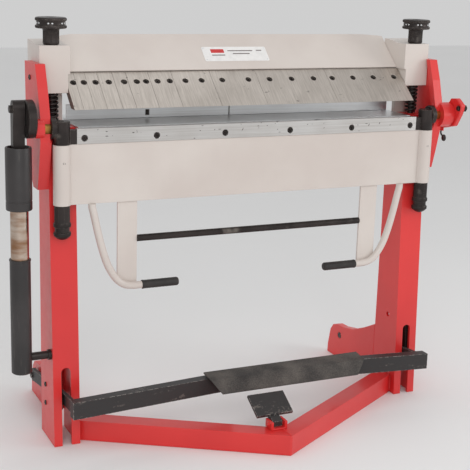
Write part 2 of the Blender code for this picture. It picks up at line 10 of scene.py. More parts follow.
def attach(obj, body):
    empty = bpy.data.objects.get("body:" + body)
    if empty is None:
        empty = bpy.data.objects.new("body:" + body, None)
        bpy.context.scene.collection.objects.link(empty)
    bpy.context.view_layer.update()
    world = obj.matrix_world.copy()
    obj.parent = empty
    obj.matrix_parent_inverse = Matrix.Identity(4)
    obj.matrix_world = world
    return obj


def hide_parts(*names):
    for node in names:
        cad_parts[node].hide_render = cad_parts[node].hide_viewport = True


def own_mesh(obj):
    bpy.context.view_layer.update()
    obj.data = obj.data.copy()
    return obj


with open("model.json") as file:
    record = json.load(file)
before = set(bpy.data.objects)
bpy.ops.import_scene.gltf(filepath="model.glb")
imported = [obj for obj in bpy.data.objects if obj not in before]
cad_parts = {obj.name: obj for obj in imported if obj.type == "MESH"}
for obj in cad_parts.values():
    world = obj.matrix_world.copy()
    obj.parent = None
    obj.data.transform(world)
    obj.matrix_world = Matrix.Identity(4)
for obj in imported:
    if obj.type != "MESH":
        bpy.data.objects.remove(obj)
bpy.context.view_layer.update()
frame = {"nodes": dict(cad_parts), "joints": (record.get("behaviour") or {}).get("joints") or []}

nodes = frame["nodes"]


# ---- Studio -----------------------------------------------------------------------------------
# A pale seamless floor, one broad soft lamp over the left shoulder, a weaker one on the right
# and an even white surround. The camera stands to the left of the machine, at head height.

yaw, pitch, roll = math.radians(25.13), math.radians(14.0), math.radians(1.81)
ahead = Vector((math.sin(yaw) * math.cos(pitch), math.cos(yaw) * math.cos(pitch), -math.sin(pitch)))
across = Vector((math.cos(yaw), -math.sin(yaw), 0))
above = across.cross(ahead)
camera = bpy.data.objects.new("camera", bpy.data.cameras.new("camera"))
bpy.context.scene.collection.objects.link(camera)
camera.matrix_world = Matrix.Translation((-1.5687, -3.3203, 1.5493)) @ Matrix((
    across * math.cos(roll) + above * math.sin(roll),
    above * math.cos(roll) - across * math.sin(roll),
    -ahead)).transposed().to_4x4()
camera.data.sensor_width = 36
camera.data.lens = 85.2
bpy.context.scene.camera = camera
bpy.context.scene.view_settings.view_transform = 'Standard'

for lamp, place, size, power in (("key_lamp", (-1.4, -3.6, 2.6), 2.4, 46),
                                 ("fill_lamp", (3.4, -2.4, 1.8), 1.6, 30),
                                 ("top_lamp", (0.3, 1.2, 4.2), 2.4, 12)):
    light = bpy.data.lights.new(lamp, 'AREA')
    light.size = size
    light.energy = power
    hung = bpy.data.objects.new(lamp, light)
    bpy.context.scene.collection.objects.link(hung)
    hung.location = place
    hung.rotation_euler = (Vector((0, 0, 0.7)) - Vector(place)).to_track_quat('-Z', 'Y').to_euler()
surround = bpy.data.worlds.new("surround")
surround.use_nodes = True
surround.node_tree.nodes["Background"].inputs["Color"].default_value = (1, 1, 1, 1)
surround.node_tree.nodes["Background"].inputs["Strength"].default_value = 0.62
bpy.context.scene.world = surround


class Tone:
    """A value in a material's shader. Arithmetic on it adds Math nodes."""

    def __init__(self, tree, socket=None):
        self.tree = tree
        self.socket = socket

    def make(self, kind, settings=None, sockets=None, out=0):
        """Any other node: its settings first, then a value or another Tone for each socket."""
        node = self.tree.nodes.new("ShaderNode" + kind)
        for name, value in (settings or {}).items():
            if name == "stops":
                while len(node.color_ramp.elements) < len(value):
                    node.color_ramp.elements.new(0.5)
                for stop, (position, colour) in zip(node.color_ramp.elements, value):
                    stop.position = position
                    stop.color = colour
            else:
                setattr(node, name, value)
        for name, value in (sockets or {}).items():
            if isinstance(value, Tone):
                self.tree.links.new(value.socket, node.inputs[name])
            else:
                node.inputs[name].default_value = value
        return Tone(self.tree, node.outputs[out])

    def math(self, operation, first, second=0.0):
        return self.make("Math", {"operation": operation}, {0: first, 1: second})

    def __add__(self, other):
        return self.math('ADD', self, other)

    def __radd__(self, other):
        return self.math('ADD', other, self)

    def __sub__(self, other):
        return self.math('SUBTRACT', self, other)

    def __rsub__(self, other):
        return self.math('SUBTRACT', other, self)

    def __mul__(self, other):
        return self.math('MULTIPLY', self, other)

    def __rmul__(self, other):
        return self.math('MULTIPLY', other, self)

    def noise(self, place, scale, detail=3.0, roughness=0.5):
        return self.make("TexNoise", None, {"Vector": place, "Scale": scale, "Detail": detail,
                                            "Roughness": roughness})

    def between(self, low, high):
        """0 below low, 1 above high, smooth in the middle."""
        return self.make("MapRange", {"interpolation_type": 'SMOOTHSTEP'},
                         {"Value": self, "From Min": low, "From Max": high})

    def blend(self, first, second):
        """The first colour where this value is 0, the second where it is 1."""
        return self.make("Mix", {"data_type": 'RGBA'}, {0: self, 6: first, 7: second}, 2)

    def stretched(self, factors):
        return self.make("Mapping", None, {"Vector": self, "Scale": factors})


def colour(red, green, blue):
    """A display colour of 0 to 255 as the shader's own linear value."""
    return (*(((value / 255 + 0.055) / 1.055) ** 2.4 for value in (red, green, blue)), 1.0)


def start_finish(name):
    made = bpy.data.materials.new(name)
    made.use_nodes = True
    tone = Tone(made.node_tree)
    return made, tone, tone.make("TexCoord", out="Object")


def close_finish(made, height=None, strength=0.1, distance=0.001, **sockets):
    """Feed the material's surface shader, with a bump from a height."""
    shader = made.node_tree.nodes["Principled BSDF"]
    for name, value in sockets.items():
        socket = shader.inputs[name.replace("_", " ").title()]
        if isinstance(value, Tone):
            made.node_tree.links.new(value.socket, socket)
        else:
            socket.default_value = value
    if height is not None:
        bump = height.make("Bump", None, {"Height": height, "Strength": strength, "Distance": distance},
                           "Normal")
        made.node_tree.links.new(bump.socket, shader.inputs["Normal"])
    return made


made, tone, place = start_finish("seamless_floor")
cloud = tone.noise(place, 0.6)
seamless_floor = close_finish(made, roughness=0.9,
                              base_color=cloud.blend((0.86, 0.86, 0.86, 1), (0.9, 0.9, 0.9, 1)))
floor_mesh = bpy.data.meshes.new("studio_floor")
reach, drop = 15, -0.001
floor_mesh.from_pydata([(-reach, -reach, drop), (reach, -reach, drop), (reach, reach, drop), (-reach, reach, drop)],
                       [], [(0, 1, 2, 3)])
floor_mesh.materials.append(seamless_floor)
floor = bpy.data.objects.new("studio_floor", floor_mesh)
bpy.context.scene.collection.objects.link(floor)


# ---- Frame: base, posts, rear feet, cheeks ------------------------------------------------------
# Welded from square tube, channel and plate, and sprayed bright red. The paint is glossy, a
# little uneven over the plate, with tiny chips along the edges and weld beads at the joints.

bend_line = Vector(next(joint for joint in frame["joints"] if joint["name"] == "apron_bend")["pos_m"])


def at(point):
    """A point in millimetres from the bend line's middle (x, y) and the floor (z), in the part's frame."""
    return Vector((bend_line.x + point[0] / 1000, bend_line.y + point[1] / 1000, point[2] / 1000))


def worn_edges(tone, width):
    """1 on outer edges about this wide in metres, 0 on flat faces."""
    rounded = tone.make("Bevel", {"samples": 4}, {"Radius": width})
    straight = tone.make("NewGeometry", out="Normal")
    along = tone.make("VectorMath", {"operation": 'DOT_PRODUCT'}, {0: rounded, 1: straight}, "Value")
    return (1 - along).between(0.01, 0.12)


def enamel(name, main, shaded, chipped, chips, gloss):
    """Sprayed machine enamel: cloudy colour, orange peel, and chips that follow the edges."""
    made, tone, place = start_finish(name)
    cloud = tone.noise(place, 2.6, 4.0)
    mottle = tone.noise(place, 38.0, 3.0)
    speckle = tone.noise(place, 260.0, 2.0, 0.7)
    edges = worn_edges(tone, 0.0016)
    chip = edges * speckle.between(0.60 - chips, 0.66 - chips)
    spot = speckle.between(0.735, 0.76) * mottle.between(0.5, 0.62)
    base = cloud.between(0.32, 0.68).blend(main, shaded)
    marked = (spot * 0.5).blend(base, chipped)
    painted = chip.blend(marked, chipped)
    peel = tone.noise(place, 420.0, 1.0)
    return close_finish(made, peel + cloud * 2.0 - chip * 1.5, 0.12, 0.0006, base_color=painted,
                        roughness=gloss + mottle * 0.16 + chip * 0.2, coat_weight=0.25 - chip * 0.25,
                        coat_roughness=0.12)


def dress(finish, *names):
    """Give a finish to nodes whose own shape is right."""
    for name in names:
        for material_slot in nodes[name].material_slots:
            material_slot.material = finish


red_enamel = enamel("red_enamel", colour(228, 52, 50), colour(216, 44, 44), colour(120, 40, 38), 0.0, 0.30)
dress(red_enamel, "floor_frame", "post_left", "post_right", "rear_foot_left", "rear_foot_right",
      "cheek_left", "cheek_right", "release_bracket")


def prism_faces(count):
    """The two ends and the sides between two like outlines."""
    sides = [[index, (index + 1) % count, count + (index + 1) % count, count + index] for index in range(count)]
    return [list(range(count)), list(range(count, 2 * count)), *sides]


class Stock:
    """The mesh of one piece, put together from turned, swept and sawn stock, in millimetres."""

    def __init__(self):
        self.points = []
        self.faces = []

    def add(self, points, faces):
        first = len(self.points)
        self.points += [Vector(point) for point in points]
        self.faces += [[first + corner for corner in face] for face in faces]
        return self

    def turn(self, origin, direction, profile, sides=56):
        """A round shape: (radius, distance along) or (radius, distance, form of the angle)."""
        direction = Vector(direction).normalized()
        across = Vector((1, 0, 0)) if abs(direction.x) < 0.9 else Vector((0, 1, 0))
        across = (across - direction * across.dot(direction)).normalized()
        third = direction.cross(across)
        points, rings = [], []
        for radius, along, *form in profile:
            centre = Vector(origin) + direction * along
            if radius == 0:
                rings.append([len(points)])
                points.append(centre)
                continue
            rings.append(list(range(len(points), len(points) + sides)))
            for step in range(sides):
                angle = math.tau * step / sides
                reach = radius * (form[0](angle) if form else 1)
                points.append(centre + (across * math.cos(angle) + third * math.sin(angle)) * reach)
        faces = []
        for upper, lower in zip(rings, rings[1:]):
            for step in range(sides):
                after = (step + 1) % sides
                face = [upper[step % len(upper)], upper[after % len(upper)],
                        lower[after % len(lower)], lower[step % len(lower)]]
                faces.append(list(dict.fromkeys(face)))
        return self.add(points, [face for face in faces if len(face) > 2])

    def sweep(self, path, radius, sides=18):
        """A round tube along a path; radius is a number or a function of the share of its length."""
        path = [Vector(point) for point in path]
        last = len(path) - 1
        points = []
        side = None
        for index, point in enumerate(path):
            ahead = (path[min(index + 1, last)] - path[max(index - 1, 0)]).normalized()
            if side is None:
                side = ahead.orthogonal().normalized()
            side = (side - ahead * side.dot(ahead)).normalized()
            third = ahead.cross(side)
            reach = radius(index / last) if callable(radius) else radius
            for step in range(sides):
                angle = math.tau * step / sides
                points.append(point + (side * math.cos(angle) + third * math.sin(angle)) * reach)
        faces = []
        for index in range(last):
            for step in range(sides):
                after = (step + 1) % sides
                faces.append([index * sides + step, index * sides + after,
                              (index + 1) * sides + after, (index + 1) * sides + step])
        faces += [list(range(sides)), list(range(last * sides, (last + 1) * sides))]
        return self.add(points, faces)

    def saw(self, axis, outline, low, high):
        """A flat outline with a thickness along X, Y or Z; outline points are the other two axes."""
        order = {'X': (2, 0, 1), 'Y': (0, 2, 1), 'Z': (0, 1, 2)}[axis]
        points = []
        for level in (low, high):
            for across, up in outline:
                local = (across, up, level)
                points.append([local[index] for index in order])
        return self.add(points, prism_faces(len(outline)))

    def mesh(self, name):
        mesh = bpy.data.meshes.new(name)
        mesh.from_pydata([at(point) for point in self.points], [], self.faces)
        shape = bmesh.new()
        shape.from_mesh(mesh)
        bmesh.ops.recalc_face_normals(shape, faces=shape.faces)
        shape.to_mesh(mesh)
        shape.free()
        return mesh

    def piece(self, name, finish, body, slot, replaced=(), edge=0.0, cutter=None, smooth=32):
        """The finished piece: cut, its edges rounded, painted, and fixed to its body."""
        made = bpy.data.objects.new(name, self.mesh(name))
        bpy.context.scene.collection.objects.link(made)
        if cutter is not None:
            tool = bpy.data.objects.new(name + "_cutter", cutter.mesh(name + "_cutter"))
            bpy.context.scene.collection.objects.link(tool)
            hole = made.modifiers.new("holes", 'BOOLEAN')
            hole.object = tool
            bpy.context.view_layer.update()
            seen = made.evaluated_get(bpy.context.evaluated_depsgraph_get())
            made.data = bpy.data.meshes.new_from_object(seen)
            made.modifiers.clear()
            bpy.data.objects.remove(tool)
        if edge:
            rounding = made.modifiers.new("edges", 'BEVEL')
            rounding.width = edge / 1000
            rounding.segments = 3
            rounding.limit_method = 'ANGLE'
            rounding.angle_limit = math.radians(38)
        if smooth:
            made.data.shade_smooth()
            made.data.set_sharp_from_angle(angle=math.radians(smooth))
        made.data.materials.clear()
        made.data.materials.append(finish)
        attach(made, body)
        if replaced:
            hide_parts(*replaced)
        return made


def rippled(radius):
    """A weld bead's radius, with the ripples that the puddle leaves."""
    ripple, waves, crater = 0.16, 130, 0.35
    return lambda share: (radius * (1 + ripple * math.sin(share * waves))
                          * min(1, crater + 12 * min(share, 1 - share)))


def straight(start, end, steps=70):
    start, end = Vector(start), Vector(end)
    return [start.lerp(end, step / steps) for step in range(steps + 1)]


bead_sides = 8
welds = Stock()
for side in (-1, 1):
    inner = side * 599.0
    welds.sweep(straight((inner, 18, 68), (inner, 92, 68)), rippled(3.4), bead_sides)
    welds.sweep(straight((inner, 17, 4), (inner, 17, 66)), rippled(3.2), bead_sides)
    welds.sweep(straight((side * 690, 15, 1000), (side * 690, 27, 860)), rippled(2.6), bead_sides)
    welds.sweep(straight((side * 722, 36, 1034), (side * 722, 70, 1000), 40), rippled(2.4), bead_sides)
welds.sweep(straight((0, -343, 68), (0, -268, 68)), rippled(2.4), bead_sides)
welds.piece("frame_welds", red_enamel, "frame", "red_paint")


# ---- Frame bolts ----------------------------------------------------------------------------------
# Blackened socket screws that hold the rear feet to the posts and the cheek to the left post.

def blackened(name, main, worn, wear, gloss):
    """Oil-blackened steel: brown-black, rubbed bright on its edges, with a fine turned grain."""
    made, tone, place = start_finish(name)
    cloud = tone.noise(place, 14.0, 4.0)
    grain = tone.noise(place, 160.0, 3.0)
    edges = worn_edges(tone, 0.0012) * grain.between(0.35, 0.6)
    rubbed = cloud.between(0.62, 0.8) * 0.35
    base = cloud.between(0.3, 0.7).blend(main, tuple(0.55 * value for value in main[:3]) + (1.0,))
    shown = (edges * wear).blend(rubbed.blend(base, worn), worn)
    return close_finish(made, grain + cloud, 0.10, 0.0004, base_color=shown, metallic=0.55 + edges * 0.4,
                        roughness=gloss + grain * 0.14 - edges * 0.1)


black_steel = blackened("black_steel", colour(58, 51, 49), colour(178, 168, 158), 0.55, 0.30)


def hexagon(angle):
    return math.cos(math.radians(30)) / math.cos(angle % math.radians(60) - math.radians(30))


def socket_screw(stock, face, direction, radius, height):
    """A cap screw seen on its head, its top at face and its shank end inside the hole."""
    socket, depth = radius * 0.56, -height * 0.55
    stock.turn(face, direction, [
        (0, depth), (socket, depth, hexagon), (socket, -0.5, hexagon), (socket * 1.1, 0, hexagon),
        (radius - 1.0, 0), (radius - 0.3, -0.3), (radius, -1.0), (radius, -height), (0, -height)], 48)


frame_screws = Stock()
for face, direction in (((-689.5, 88, 116), (-1, 0, 0)), ((-689.5, 88, 180), (-1, 0, 0)),
                        ((689.5, 88, 116), (1, 0, 0)), ((689.5, 88, 180), (1, 0, 0)),
                        ((-724.5, 101, 1177), (-1, 0, 0)), ((724.5, 101, 1177), (1, 0, 0))):
    socket_screw(frame_screws, face, direction, 8.0, 8.0)
frame_screws.piece("frame_screws", black_steel, "frame", "black_steel")


# ---- Hinge bushes and stud --------------------------------------------------------------------
# Bronze bushes pressed into the cheek bosses, and the turned stud on the left post on which the
# lift assist swings.

made, tone, place = start_finish("bearing_bronze")
oil = tone.noise(place, 30.0, 4.0)
bronze = oil.between(0.3, 0.7).blend(colour(188, 140, 74), colour(120, 84, 44))
bearing_bronze = close_finish(made, tone.noise(place, 300.0), 0.08, 0.0003, base_color=bronze, metallic=1.0,
                              roughness=0.28 + oil * 0.2)
dress(bearing_bronze, "hinge_bush_left", "hinge_bush_right")

stud = Stock().turn((0, 24, 305), (-1, 0, 0), [(0, 686.3), (17, 686.3), (17, 696), (13, 697), (13, 758),
                                               (11.5, 761.5), (0, 762)])
stud.piece("balance_stud_turned", black_steel, "frame", "black_steel", ["balance_stud"])


# ---- Bed and back gauge -----------------------------------------------------------------------
# The grey box beam carries a ground steel jaw. The back gauge is a bright flat bar on the bed
# that slides to the depth of the bend and has an adjusting slot at its left.

grey_enamel = enamel("grey_enamel", colour(218, 209, 202), colour(208, 197, 190), colour(120, 112, 106),
                     -0.01, 0.36)
dress(grey_enamel, "bed_beam")


def ground_steel(name, bright, dull, grain, gloss, marks=0.0):
    """Ground steel: fine lines along the grain, cloudy reflections and a few dark handling marks."""
    made, tone, place = start_finish(name)
    lines = tone.noise(place.stretched(grain), 1.0, 4.0, 0.65)
    cloud = tone.noise(place, 7.0, 3.0)
    base = (lines * 0.6 + cloud * 0.4).between(0.3, 0.7).blend(bright, dull)
    nick = tone.noise(place.stretched((55.0, 55.0, 170.0)), 1.0, 1.0, 0.4).between(0.70, 0.715)
    stain = tone.noise(place, 21.0, 2.0).between(0.55, 0.6) * nick * marks
    shown = stain.blend(base, colour(52, 44, 42))
    return close_finish(made, lines - stain * 2.0, 0.10, 0.0003, base_color=shown,
                        metallic=0.92 - stain * 0.6, roughness=gloss + lines * 0.12 + cloud * 0.08)


bed_steel = ground_steel("bed_steel", colour(226, 228, 230), colour(206, 206, 206), (3.0, 320.0, 320.0),
                         0.22)
dress(bed_steel, "bed_plate", "back_gauge")

# A thin black block at the back of the adjusting slot is painted shade for the slot's hollow; a thin black strip
# marks a joint line.
hole_shade = [(151.4, 1042.8), (155.6, 1042.8), (155.6, 1060.7), (151.4, 1060.7)]
joint_line = [(151.0, 1034.6), (151.6, 1034.6), (151.6, 1083.6), (151.0, 1083.6)]
gauge_shade_and_joint = Stock().saw('X', hole_shade, -327.2, -314.8).saw('X', joint_line, -29.9, -26.6)
gauge_shade_and_joint.piece("gauge_hole_back_and_joint", black_steel, "back_gauge", "black_steel", edge=0.3, smooth=0)


# ---- Clamping fingers ---------------------------------------------------------------------------
# Eleven ground wedges of unlike widths, each hung on the beam by black cap screws that sit deep
# in counterbores. Their faces are ground down the slope and look warm beside the bending bar.

finger_steel = ground_steel("finger_steel", colour(214, 206, 198), colour(184, 176, 168),
                            (260.0, 14.0, 14.0), 0.34, 0.5)
widths = (30, 35, 40, 50, 45, 75, 80, 135, 165, 265, 300)
hole_places = ((-589,), (-555,), (-517,), (-474,), (-423,), (-381, -350), (-311, -269), (-215, -158),
               (-85, 10), (88, 171, 255), (328, 410, 492, 576))
section = [(2, 1086), (42, 1086), (137, 1166), (119, 1187)]
gap, bore, sunk = 0.3, 10.2, 3.2
slope = Vector((0, -101, 117)).normalized()
left_edge = -610.0
finger_screws = Stock()
for number, (width, holes) in enumerate(zip(widths, hole_places), 1):
    wedge = Stock().saw('X', section, left_edge + gap, left_edge + width - gap)
    bores = Stock()
    for hole in holes:
        mouth = Vector((hole, 87, 1159.4))
        bores.turn(mouth, slope, [(0, 20), (bore, 20), (bore, -10), (0, -10)], 40)
        socket_screw(finger_screws, mouth - slope * sunk, slope, 8.4, 6.0)
    wedge.piece("clamping_finger_%02d" % number, finger_steel, "clamping_beam", "finger_steel",
                ["finger_%02d" % number], 0.7, bores, smooth=0)
    left_edge += width
finger_screws.piece("finger_screws", black_steel, "clamping_beam", "black_steel")


# ---- Clamping beam, hood and end blocks -----------------------------------------------------
# A welded beam under a sheet hood that leans back, with a thick block at each end that rides on
# the spindle. All of it has the light grey enamel. A plain enamelled plate is riveted on the hood.

dress(grey_enamel, "clamp_beam", "hood", "guide_block_left", "guide_block_right")

foot = Vector((0, 119, 1189))
lean = Vector((0, 115, 106)).normalized()
proud = Vector((0, -106, 115)).normalized()


def on_hood(stock, left, right, low, high, lift, thick, corner):
    """A flat plate on the hood: x limits, height up the slope, and its rounded corners."""
    outline = []
    corners = ((right - corner, high - corner, 0), (left + corner, high - corner, 90),
               (left + corner, low + corner, 180), (right - corner, low + corner, 270))
    for centre_x, centre_up, start in corners:
        for step in range(5):
            angle = math.radians(start + step * 22.5)
            outline.append((centre_x + corner * math.cos(angle), centre_up + corner * math.sin(angle)))
    points = []
    for level in (lift, lift + thick):
        points += [foot + Vector((x, 0, 0)) + lean * up + proud * level for x, up in outline]
    stock.add(points, prism_faces(len(outline)))


def label_paint(name, shade, gloss):
    made, tone, place = start_finish(name)
    dust = tone.noise(place, 60.0, 3.0)
    dulled = tuple(0.9 * part for part in shade[:3]) + (1.0,)
    return close_finish(made, tone.noise(place, 500.0), 0.04, 0.0002, roughness=gloss + dust * 0.1,
                        base_color=dust.between(0.3, 0.8).blend(shade, dulled))


label_white = label_paint("label_white", colour(240, 238, 236), 0.25)
label_red = label_paint("label_red", colour(206, 52, 50), 0.3)
label_ink = label_paint("label_ink", colour(120, 112, 110), 0.4)
plate_stock = Stock()
on_hood(plate_stock, -122, 114, 34, 97, 4.0, 1.0, 6)
plate_stock.piece("hood_plate", label_white, "clamping_beam", "grey_paint", edge=0.3, smooth=0)
band_stock = Stock()
on_hood(band_stock, -92, -44, 70, 86, 5.0, 0.3, 2)
band_stock.piece("hood_plate_band", label_red, "clamping_beam", "red_paint", smooth=0)
rule_stock = Stock()
for left, right, low in ((-30, 62, 77), (-14, 48, 64), (-92, -44, 58), (76, 96, 78)):
    on_hood(rule_stock, left, right, low, low + 4, 5.0, 0.2, 1)
rule_stock.piece("hood_plate_rules", label_ink, "clamping_beam", "black_paint", smooth=0)
rivet_stock = Stock()
for x, up in ((-115, 90), (-115, 41), (107, 90), (107, 41)):
    rivet_stock.turn(foot + Vector((x, 0, 0)) + lean * up + proud * 5.0, proud,
                     [(0, 1.3), (1.2, 1.15), (2.1, 0.6), (2.5, 0), (0, 0)], 20)
rivet_stock.piece("hood_plate_rivets", bed_steel, "clamping_beam", "bed_steel")


# ---- Spindles and lift springs ------------------------------------------------------------------
# Each spindle is turned from one bar: a grooved, knurled handwheel, a knurled neck that rests on
# the block and a shank down through the post. A heavy black spring round it lifts the beam.

def knurl(count, depth):
    return lambda angle: 1 - depth * (0.5 - 0.5 * math.cos(count * angle))


rim, neck = knurl(90, 0.02), knurl(36, 0.05)
spindle_y = 90
for side, x in (("left", -657), ("right", 657)):
    wheel = Stock().turn((x, spindle_y, 0), (0, 0, 1), [
        (0, 1355.5), (12, 1355.5), (13.5, 1357.2), (15, 1358), (43, 1358), (46, 1357),
        (47.6, 1355, knurl(90, 0.012)), (48, 1353, rim), (48, 1350, rim), (47, 1348.2), (44.6, 1347),
        (44, 1345.5), (44, 1336.5), (44.6, 1335), (47, 1333.8), (48, 1332, rim), (48, 1328.5, rim),
        (47.4, 1326.6), (45, 1325), (28, 1324), (26, 1322), (25.3, 1319), (25, 1317, neck), (25, 1284, neck),
        (25.3, 1282), (24.6, 1279), (22, 1275.3), (10, 1275.3), (10, 943), (9, 942), (0, 942)], 180)
    wheel.piece("spindle_turned_" + side, black_steel, "spindle_" + side, "black_steel",
                ["spindle_" + side])
    dimples = Stock()
    for turn in range(0, 360, 60):
        for offset in (-8, 8):
            angle = math.radians(turn - 108 + offset)
            way = Vector((math.cos(angle), math.sin(angle), 0))
            dimples.turn(Vector((x, spindle_y, 1341)) + way * 43.6, way,
                         [(0, 1.8), (1.8, 1.5), (2.9, 0.6), (3.3, 0), (0, -0.5)], 20)
    dimples.piece("spindle_dimples_" + side, bed_steel, "spindle_" + side, "bed_steel")

    turns, steps, radius, wire = 7, 26, 17.4, 4.2
    coil = [(x + radius * math.cos(math.tau * step / steps),
             spindle_y + radius * math.sin(math.tau * step / steps),
             1034.9 + 90.4 * step / (turns * steps)) for step in range(turns * steps + 1)]
    spring = Stock().sweep(coil, wire, 12).piece("lift_coil_" + side, black_steel, "frame", "black_steel",
                                                 ["lift_spring_" + side])
    at((x, spindle_y, 1030.3))
    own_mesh(spring)
dress(black_steel, "pull_rod_left", "pull_rod_right")


# ---- Apron -----------------------------------------------------------------------------------
# A heavy grey plate between two vertical tubes. Its top is stepped to carry the bending bar, and
# a small black pin in the front of each tube locks the adjusting screw.

tube_x, tube_y = 655, -10
apron = Stock().saw('X', [(-17, 797), (-17, 984.7), (5, 984.7), (5, 797)], -640, 640)
apron.saw('X', [(-7.7, 980), (-7.7, 1014), (-1.3, 1014), (-1.3, 980)], -608, 608)
for x in (-tube_x, tube_x):
    apron.turn((x, tube_y, 0), (0, 0, 1),
               [(0, 797), (26, 797), (27, 798), (27, 983.4), (26, 984.4), (0, 984.4)], 96)
apron.piece("apron_welded", grey_enamel, "apron", "grey_paint", ["apron_beam"], 1.4)
seams = Stock()
pins = Stock()
for side in (-1, 1):
    seams.sweep(straight((side * 630.5, -18.5, 799), (side * 630.5, -18.5, 982)), rippled(2.2), bead_sides)
    pins.turn((side * tube_x, -36.4, 930), (0, -1, 0), [
        (0, -1.4), (2.2, -1.4, hexagon), (2.2, 0.4, hexagon), (3.6, 0.6), (4.4, 0), (4.4, -6), (0, -6)], 36)
seams.piece("apron_seams", grey_enamel, "apron", "grey_paint")
pins.piece("apron_pins", black_steel, "apron", "black_steel")


# ---- Bending bar -----------------------------------------------------------------------------
# A ground steel bar bolted along the top of the apron by six cap screws in counterbores. Sheet
# edges have left small dark nicks all along its front.

bar_steel = ground_steel("bar_steel", colour(222, 220, 218), colour(196, 192, 188), (4.0, 260.0, 260.0),
                         0.27, 1.0)
half_length, screw_z = 610, 1003
bar = Stock().saw('X', [(-21, 985.3), (-21, 1032), (-1, 1032), (-1, 1014.3), (-8, 1014.3), (-8, 985.3)],
                  -half_length, half_length)
bar_bores = Stock()
bar_screws = Stock()
screw_places = [-586 + 234.4 * number for number in range(6)]
for x in screw_places:
    bar_bores.turn((x, -11.5, screw_z), (0, -1, 0), [(0, 0), (10.4, 0), (10.4, 20), (0, 20)], 44)
    socket_screw(bar_screws, (x, -17.6, screw_z), (0, -1, 0), 8.8, 6.0)
bar.piece("bending_bar_ground", bar_steel, "apron", "bar_steel", ["bending_bar"], 0.8, bar_bores, smooth=0)
bar_screws.piece("bar_screws", black_steel, "apron", "black_steel")
nicks = random.Random(11)
nick_stock = Stock()
corners = 9
for mark in range(26):
    x = nicks.uniform(-590, 590)
    z = nicks.uniform(1006, 1029) if mark % 3 else nicks.uniform(990, 1029)
    size = nicks.uniform(1.5, 5.5)
    turn = nicks.choice((0, 0, 0, 60))
    run = Vector((math.cos(math.radians(turn)), 0, math.sin(math.radians(turn)))) * size
    side = Vector((-run.z, 0, run.x)).normalized() * nicks.uniform(0.7, 1.4)
    if min(abs(x - place_x) for place_x in screw_places) < 18:
        continue
    centre = Vector((x, -21.08, z))
    ring = [centre + run * math.cos(math.tau * step / corners) + side * math.sin(math.tau * step / corners)
            for step in range(corners)]
    nick_stock.add([*ring, *(point + Vector((0, 0.3, 0)) for point in ring)], prism_faces(corners))
nick_stock.piece("bar_nicks", black_steel, "apron", "bar_steel", smooth=0)


# ---- Apron hinge ends, adjusters, crank ---------------------------------------------------------
# Turned black sleeves on the end tubes with a stub axle on the flank, the knurled screws under
# the tubes that set the apron's height, and the crank plate of the lift assist.

band, barrel = knurl(48, 0.03), knurl(40, 0.04)
bend_z = 1034
for side, x in (("left", -1), ("right", 1)):
    block = Stock().turn((x * tube_x, tube_y, 0), (0, 0, 1), [
        (0, 1054), (8, 1054), (9, 1056), (24.4, 1056), (26, 1054.4), (26, 987), (25, 985.4), (0, 985.4)], 72)
    low, high = sorted((x * 611, x * 640))
    block.saw('X', [(-19.5, 985.5), (-19.5, 1028.5), (3.5, 1028.5), (3.5, 985.5)], low, high)
    end = 782 if x > 0 else 765
    block.turn((0, 0, bend_z), (x, 0, 0), [
        (0, 660), (15, 660), (15, 672.5), (31.6, 672.5), (33, 674), (33, 688.2), (31.6, 689.5), (15, 689.5),
        (15, end - 2), (13, end), (0, end)], 72)
    block.piece("hinge_sleeve_" + side, black_steel, "apron", "black_steel", ["hinge_block_" + side])
    screw = Stock().turn((x * tube_x, tube_y, 0), (0, 0, 1), [
        (0, 984), (9, 984), (9, 796.7), (23, 796.7), (24, 795.6), (24, 786, barrel), (24, 745, barrel),
        (24.2, 742.5), (26, 741.5), (27, 740, band), (27, 731, band), (26, 729.5), (23.2, 728), (22.6, 721),
        (23.2, 714), (26, 712.5), (27, 711, band), (27, 703, band), (25.6, 701), (22, 697), (16, 692),
        (8, 688.6), (0, 688)], 144)
    screw.piece("adjuster_knurled_" + side, black_steel, "adjuster_" + side, "black_steel",
                ["adjuster_" + side])

crank = Stock().turn((0, 5, 1063), (-1, 0, 0), [
    (0, 738), (55.5, 738), (58, 740.5), (58, 761.5), (55.5, 764), (24, 764), (23, 763), (0, 763)], 96)
crank.piece("crank_plate", black_steel, "apron", "black_steel", ["balance_crank"])


# ---- Handles -----------------------------------------------------------------------------------
# Round tube bent in towards the middle, a flat strut welded behind it, black rubber grips pushed
# on the ends, and a black rod that ties the two struts together.

made, tone, place = start_finish("grip_rubber")
bloom = tone.noise(place, 24.0, 4.0)
faded = bloom.between(0.35, 0.75).blend(colour(38, 35, 35), colour(58, 54, 52))
grip_rubber = close_finish(made, tone.noise(place, 520.0, 2.0), 0.25, 0.0004, base_color=faded,
                           roughness=0.5 + bloom * 0.25)


def curved(points, steps=6):
    """A smooth path through the points."""
    points = [Vector(point) for point in points]
    ends = [points[0] * 2 - points[1], *points, points[-1] * 2 - points[-2]]
    path = []
    for before, start, end, after in zip(ends, ends[1:], ends[2:], ends[3:]):
        for step in range(steps):
            t = step / steps
            path.append(0.5 * (2 * start + (end - before) * t
                               + (2 * before - 5 * start + 4 * end - after) * t ** 2
                               + (3 * start - before - 3 * end + after) * t ** 3))
    return [*path, points[-1]]


